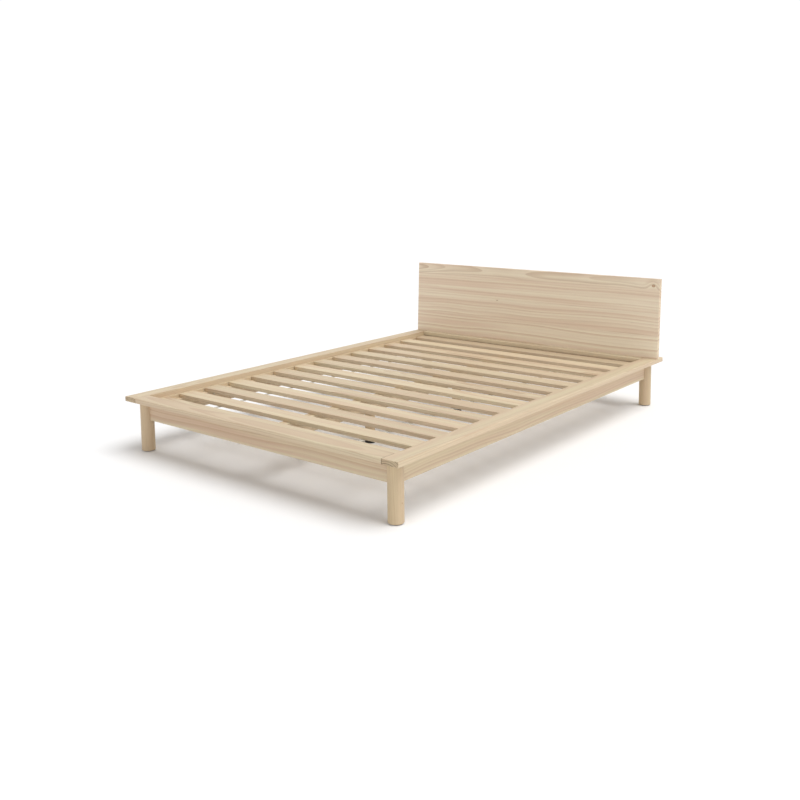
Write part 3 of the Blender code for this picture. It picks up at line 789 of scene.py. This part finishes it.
# ---------------------------------------------------------------- the headboard


def lean_back(points):
    """Turns the upright panel back about its front lower edge and cuts its bottom level.

    In: (x, depth behind the face, height up the face). The height along the lean becomes
    z = cos x height - sin x depth and y = sin x height + cos x depth; z stays above the ledge.
    """
    x, depth, height = points[..., 0], points[..., 1], points[..., 2]
    y = PANEL_FOOT[0] + depth * math.cos(LEAN) + height * math.sin(LEAN)
    z = PANEL_FOOT[1] - depth * math.sin(LEAN) + height * math.cos(LEAN)
    return np.stack([x, y, np.maximum(z, PANEL_FOOT[1])], axis=-1)


def make_headboard():
    """Four boards glued edge to edge; the top one is cut near the heart and shows its tongues."""
    joints = (0.0, 0.118, 0.236, 0.355, 0.415)
    plain = {"end_dark": 0.08, "end_contrast": 0.12}
    # The boards' tones are painted paler, as painted bounce light falling on the headboard.
    calm = {**plain, "taper": 0.003, "rose": 0.9, "contrast": 0.68, "tones": BOUNCE_LIT}
    woods = (
        pine("pine_headboard_1", "X", (1.095, 0.215), 31.0, 0.004, 0.0150, **calm),
        pine(
            "pine_headboard_2", "X", (1.095, 0.315), 34.0, 0.006, 0.0150,
            knots=[(-0.204, 0.477, 0.0030)], **calm,
        ),
        pine("pine_headboard_3", "X", (1.090, 0.655), 37.0, 0.002, 0.0140, **calm),
        pine(
            "pine_headboard_4", "X", (1.080, 0.640), 40.0, 0.0681, 0.0110, taper=0.001,
            sweep=(0.10, 0.030), sway=0.040, rose=0.8, contrast=1.0, tones=FLAME_AND_BOUNCE_LIT,
            knots=[(0.745, 0.628, 0.0070)], **plain,
        ),
    )
    half_width = low_high("headboard_panel")[1][X]
    for number, wood in enumerate(woods, 1):
        bottom, top = joints[number - 1], joints[number]
        glue = 0.0001
        low = (-half_width, 0.0, bottom + (glue if number > 1 else 0.0))
        high = (half_width, PANEL_THICK, top - (glue if number < 4 else 0.0))
        upper, lower = (0.0030, 0.0004) if number == 4 else (0.0004, 0.0004)
        points, faces = skin(board_rings(X, low, high, [upper, upper, lower, lower], 0.0028))
        add_piece(
            f"headboard_board_{number}", lean_back(points), faces, wood, ROOT, ["headboard_panel"],
            "headboard_pine",
        )


def make_posts(steel):
    """The two uprights behind the headboard; above the ledge their fronts follow its lean."""
    for side, sign in SIDES.items():
        node = f"headboard_post_{side}"
        low, high = low_high(node)
        wood = pine(
            f"pine_{node}", "Z", (low[X] + 0.02, 1.135), 51.0 + sign, first_ring=0.0555,
            ring=0.0066, face="b", contrast=0.8,
        )
        stations, inset = eased(low[Z], high[Z], 0.002)
        foot = len(stations) // 2
        body = [POST_STEP, POST_STEP, LEDGE_TOP, LEDGE_TOP + GAP, 0.40]
        stations = np.insert(stations, foot, body)
        inset = np.insert(inset, foot, np.zeros(len(body)))
        leaning = NOTCH_Y + GAP + math.tan(LEAN) * np.maximum(stations - LEDGE_TOP, 0.0)
        upright = LEG_AT[Y] + APRON_OUT + GAP
        front = np.where(np.arange(len(stations)) <= foot, upright, leaning)
        corner = np.maximum(np.array([[0.003, 0.003, 0.0006, 0.0006]]) - inset[:, None], 0.0001)
        a, b = section(low[X] + inset, high[X] - inset, front + inset, high[Y] - inset, corner)
        rings = lay_out(Z, stations, a, b)
        add_piece(f"{node}_planed", *skin(rings), wood, ROOT, [node], "post_pine")
        for place in ("foot", "lower", "upper"):
            make_post_bolt(f"post_bolt_{side}_{place}", steel)


def make_post_bolt(node, steel):
    """A furniture bolt: round head with a hexagonal socket, standing on a thin washer."""
    low, high = low_high(node)
    base = ((low[X] + high[X]) / 2, high[Y], (low[Z] + high[Z]) / 2)
    along = [0.0048, 0.0048, 0.0002, 0.0, 0.0, 0.0003, 0.0012, 0.0038, 0.0041, 0.0041]
    size = [0.0012, 0.0026, 0.0028, 0.0031, 0.0062, 0.0070, 0.0076, 0.0078, 0.0078, 0.0040]
    rings = turned_rings(base, (0, -1, 0), along, size, [1] * 4 + [0] * 6, around=48)
    add_piece(f"{node}_head", *skin(rings), steel, ROOT, [node], "zinc_steel")
    along = [0.0042, 0.0042, 0.0044, 0.0047, 0.0049, 0.0049]
    size = [0.0040, 0.0083, 0.0085, 0.0085, 0.0083, 0.0040]
    rings = turned_rings(base, (0, -1, 0), along, size, around=48)
    add_piece(f"{node}_washer", *skin(rings), steel, ROOT, [], "zinc_steel")


# ---------------------------------------------------------------- the slatted base


def make_slats():
    """Fourteen planed slats, each with its own cut of the log."""
    wood = pine(
        "pine_slats", "X", (0.0, 0.160), 61.0, ring=0.0060, taper=0.008, face="b", rose=0.5,
        contrast=0.75, slats=(FIRST_SLAT, SLAT_PITCH),
    )
    for node in SLATS:
        rings = board_rings(X, *low_high(node), 0.0020, 0.0012, 3)
        add_piece(f"{node}_planed", *skin(rings), wood, ROOT, [node], "slat_pine")


def make_straps(webbing, steel):
    """Two woven straps with scalloped edges, stretched under the slats and stapled to them."""
    slats = FIRST_SLAT + SLAT_PITCH * np.arange(len(SLATS))
    places = [(0, slat + offset, 0) for slat in slats for offset in (-0.014, 0.014)]
    for side in SIDES:
        node = f"slat_strap_{side}"
        low, high = low_high(node)
        y = np.linspace(low[Y], high[Y], 400)
        scallop = 0.0002 + 0.00015 * np.sin(2 * np.pi * y / 0.0024)
        level = np.ones(len(y))
        a, b = section(
            low[X] + scallop, high[X] - scallop, level * low[Z], level * high[Z], level * 0.00045, 2
        )
        rings = lay_out(Y, y, a, b)
        strap = add_piece(f"{node}_woven", *skin(rings), webbing, ROOT, [node], "webbing")
        middle = (low[X] + high[X]) / 2
        wire_low = (middle - 0.0055, -0.0006, low[Z] - 0.0006)
        wire_high = (middle + 0.0055, 0.0006, low[Z])
        rings = board_rings(X, wire_low, wire_high, 0.00025, 0.00015, 1)
        staples = repeated(*skin(rings), places)
        add_piece(f"strap_staples_{side}", *staples, steel, ROOT, [], "zinc_steel")


def make_cleats(steel):
    """The side cleats that carry the ends of the slats, screwed to the aprons."""
    for side, sign in SIDES.items():
        node = f"slat_cleat_{side}"
        low, high = low_high(node)
        wood = pine(
            f"pine_{node}", "Y", (sign * 0.66, 0.15), 71.0 + sign, ring=0.0052, contrast=0.8
        )
        rings = board_rings(Y, low, high, 0.0012, 0.0010)
        add_piece(f"{node}_planed", *skin(rings), wood, ROOT, [node], "bearer_pine")
        face = low[X] if sign > 0 else high[X]
        head = screw_head((face, 0.0, (low[Z] + high[Z]) / 2), (-sign, 0, 0))
        heads = repeated(*head, [(0, y, 0) for y in np.linspace(low[Y] + 0.06, high[Y] - 0.06, 8)])
        add_piece(f"cleat_screws_{side}", *heads, steel, ROOT, [], "zinc_steel")


def make_beam():
    """The middle beam, with one knot on its side."""
    wood = pine("pine_centre_beam", "Y", (0.03, 0.115), 75.0, knots=[(-0.42, 0.178, 0.006)])
    rings = board_rings(Y, *low_high("centre_beam"), 0.0020, 0.0010)
    add_piece("centre_beam_planed", *skin(rings), wood, ROOT, ["centre_beam"], "bearer_pine")


def make_beam_saddle(end_name, end, steel):
    """A folded hanger: wings on the apron, two cheeks beside the beam and a seat under it."""
    node = f"beam_hanger_{end_name}"
    low, high = low_high(node)
    thick = 0.0025
    front, back = sorted((abs(low[Y]), abs(high[Y])))
    cheek = low_high("centre_beam")[1][X] + GAP + thick / 2
    for side_name, side in SIDES.items():
        plan = np.array([(high[X], back - thick / 2), (cheek, back - thick / 2), (cheek, front)])
        rings = plate_rings(plan * (side, end), thick, low[Z], high[Z], 0.003)
        add_piece(f"{node}_cheek_{side_name}", *skin(rings), steel, ROOT, [node], "zinc_steel")
        head = screw_head((side * 0.040, end * (back - thick), 0.0), (0, -end, 0))
        heads = repeated(*head, [(0, 0, low[Z] + 0.013), (0, 0, high[Z] - 0.013)])
        add_piece(f"{node}_screws_{side_name}", *heads, steel, ROOT, [], "zinc_steel")
        at = (side * (cheek + thick / 2), end * (front + 0.014), 0.0)
        head = screw_head(at, (side, 0, 0))
        heads = repeated(*head, [(0, 0, low[Z] + 0.022), (0, 0, high[Z] - 0.013)])
        add_piece(f"{node}_cheek_screws_{side_name}", *heads, steel, ROOT, [], "zinc_steel")
    for part, depths, top in (
        ("seat", (front, back - thick), low[Z] + thick), ("back", (back - thick, back), high[Z]),
    ):
        near, far = sorted(end * depth for depth in depths)
        rings = board_rings(X, (-cheek, near, low[Z]), (cheek, far, top), 0.0004, 0.0004, 2)
        add_piece(f"{node}_{part}", *skin(rings), steel, ROOT, [node], "zinc_steel")


def make_centre_leg(end_name, end):
    """A turned leg under the beam: down the stem's bore, round the eased foot and up outside."""
    node = f"centre_leg_{end_name}"
    low, high = low_high(node)
    # Partly painted, as on the corner legs: the yellower tones and the scale of 0.95 paint warm
    # bounce light and the shade under the bed.
    wood = pine(
        f"pine_{node}", "Z", (0.045, end * CENTRE_LEG_Y + 0.03), 81.0 + end, first_ring=0.05,
        ring=0.0056, face="b", painted_light=0.95, tones=HONEY_AND_BOUNCE,
    )
    radius, ease, bore, bore_top, arris = 0.0225, 0.002, 0.0053, 0.086, 0.0006
    t = np.linspace(0.0, np.pi / 2, 5)
    outside = radius - ease * (1 - np.sin(t))
    up = low[Z] + ease * (1 - np.cos(t))
    size = [0.0005, bore, bore, bore + 0.001, *outside, radius, radius - arris]
    z = [bore_top, bore_top, low[Z] + 0.001, low[Z], *up, high[Z] - arris, high[Z]]
    rings = turned_rings((0, end * CENTRE_LEG_Y, 0), (0, 0, 1), z, size, around=64)
    add_piece(f"{node}_turned", *skin(rings), wood, ROOT, [node], "leg_pine")


def make_levelling_pad(end_name, end, plastic):
    """A pad that stands still on the floor: from its socket over the ribbed rim to its sole."""
    y = end * CENTRE_LEG_Y
    ribs, around = 24, 96
    z = [0.0034, 0.0034, 0.0072, 0.0080, 0.0080, 0.0074, 0.0058, 0.0050, 0.0012, 0.0, 0.0]
    size = [0.0006, 0.0053, 0.0053, 0.0060, 0.0120, 0.0150, 0.0225, 0.0246, 0.0246, 0.0240, 0.0005]
    rings = turned_rings((0, y, 0), (0, 0, 1), z, size, around=around)
    rim = slice(7, 9)
    angle = np.arange(around) * 2 * np.pi / around
    swell = 1.0 + 0.016 * np.maximum(np.cos(ribs * angle), 0.0)
    rings[rim, :, 0] *= swell
    rings[rim, :, 1] = y + (rings[rim, :, 1] - y) * swell
    node = f"levelling_pad_{end_name}"
    body = f"pad_{end_name}"
    add_piece(f"{node}_moulded", *skin(rings), plastic, body, [node], "black_plastic", 50)


def make_levelling_stem(end_name, end, steel):
    """The stem that turns in the pad: a plain foot, a hexagonal collar and the thread above."""
    node = f"levelling_stem_{end_name}"
    low, high = low_high(node)
    foot = [low[Z], low[Z] + 0.0006, 0.0083, 0.0083, 0.0090, 0.0136, 0.0143, 0.0143]
    foot_size = [0.0043, 0.0049, 0.0049, 0.0080, 0.0095, 0.0095, 0.0080, 0.0047]
    foot_hexagon = [0, 0, 0, 0, 1, 1, 0, 0]
    thread = np.arange(0.0146, high[Z] - 0.001, 0.00025)
    z = np.concatenate([foot, thread, [high[Z] - 0.0008, high[Z]]])
    size = np.concatenate([foot_size, np.full(len(thread), 0.0050), [0.0044, 0.0038]])
    hexagon = np.concatenate([foot_hexagon, np.zeros(len(thread) + 2)])
    depth = np.concatenate([np.zeros(len(foot)), np.full(len(thread), 0.0007), [0, 0]])
    base = (0, end * CENTRE_LEG_Y, 0)
    rings = turned_rings(base, (0, 0, 1), z, size, hexagon, depth, 0.0015, 24)
    body = f"stem_{end_name}"
    add_piece(f"{node}_threaded", *skin(rings), steel, body, [node], "zinc_steel", 60)


# ---------------------------------------------------------------- the studio


def make_floor():
    """A pale, even floor that runs out of sight."""
    finish = new_finish("studio_floor")
    place = finish.node("ShaderNodeTexCoord", output="Object")
    cloud = finish.noise(place, 0.4, 1.0)
    colour = finish.mix(cloud, (0.938, 0.941, 0.945, 1.0), (0.948, 0.951, 0.955, 1.0))
    finish.surface(Base_Color=colour, Roughness=0.9)
    mesh = bpy.data.meshes.new("studio_floor")
    reach, drop = 60.0, -0.0003
    corners = [(x * reach, y * reach, drop) for x, y in ((-1, -1), (1, -1), (1, 1), (-1, 1))]
    mesh.from_pydata(corners, [], [(0, 1, 2, 3)])
    mesh.materials.append(finish.owner)
    floor = bpy.data.objects.new("studio_floor", mesh)
    bpy.context.scene.collection.objects.link(floor)


def make_light():
    """White walls, a dimmer ceiling, and one large soft lamp overhead, towards the right."""
    world = bpy.data.worlds.new("studio")
    bpy.context.scene.world = world
    room = Finish(world)
    direction = room.node("ShaderNodeTexCoord", output="Generated")
    height = room.split(direction)[2]
    rise = room.ease(height, 0.17, 0.80)
    colour = room.mix(rise, (1.04, 1.04, 1.04, 1.0), (0.30, 0.30, 0.305, 1.0))
    background = next(n for n in room.tree.nodes if n.type == "BACKGROUND")
    room.feed(background.inputs["Color"], colour)
    lamp = bpy.data.lights.new("soft_lamp", "SUN")
    lamp.energy = 2.20
    lamp.angle = math.radians(44.0)
    lamp.color = (1.0, 0.999, 0.998)
    soft = bpy.data.objects.new("soft_lamp", lamp)
    bpy.context.scene.collection.objects.link(soft)
    towards = Vector((0.40, 0.12, 1.0))
    soft.location = towards * 3.0
    soft.rotation_euler = towards.to_track_quat("Z", "Y").to_euler()


def make_camera():
    """A studio camera beyond the foot's right-hand corner, looking a little down."""
    azimuth, pitch, roll = (math.radians(v) for v in (38.93, 7.0, -0.60))
    level = math.cos(pitch)
    ahead = Vector((-math.sin(azimuth) * level, math.cos(azimuth) * level, -math.sin(pitch)))
    right = Vector((math.cos(azimuth), math.sin(azimuth), 0.0))
    up = right.cross(ahead)
    right, up = (
        right * math.cos(roll) + up * math.sin(roll), up * math.cos(roll) - right * math.sin(roll)
    )
    data = bpy.data.cameras.new("studio_camera")
    data.lens = 41.922
    data.sensor_width = 36.0
    data.shift_y = -0.1465
    camera = bpy.data.objects.new("studio_camera", data)
    bpy.context.scene.collection.objects.link(camera)
    turn = Matrix((right, up, -ahead)).transposed().to_4x4()
    camera.matrix_world = Matrix.Translation((2.716, -3.474, 1.241)) @ turn
    bpy.context.scene.camera = camera
    bpy.context.scene.view_settings.view_transform = "Standard"


make_camera()
make_light()
make_floor()
steel = zinc_steel()
felt = grey_felt()
make_side_boards()
make_foot_board()
make_head_board()
make_aprons()
for end_name, end in ENDS.items():
    for side_name, side in SIDES.items():
        make_leg(end_name, end, side_name, side)
        make_corner_steel(end_name, end, side_name, side, steel, felt)
make_headboard()
make_posts(steel)
make_slats()
make_straps(cotton_webbing(), steel)
make_cleats(steel)
make_beam()
for end_name, end in ENDS.items():
    make_beam_saddle(end_name, end, steel)
    make_centre_leg(end_name, end)
plastic = black_plastic()
for end_name, end in ENDS.items():
    make_levelling_pad(end_name, end, plastic)
    make_levelling_stem(end_name, end, steel)
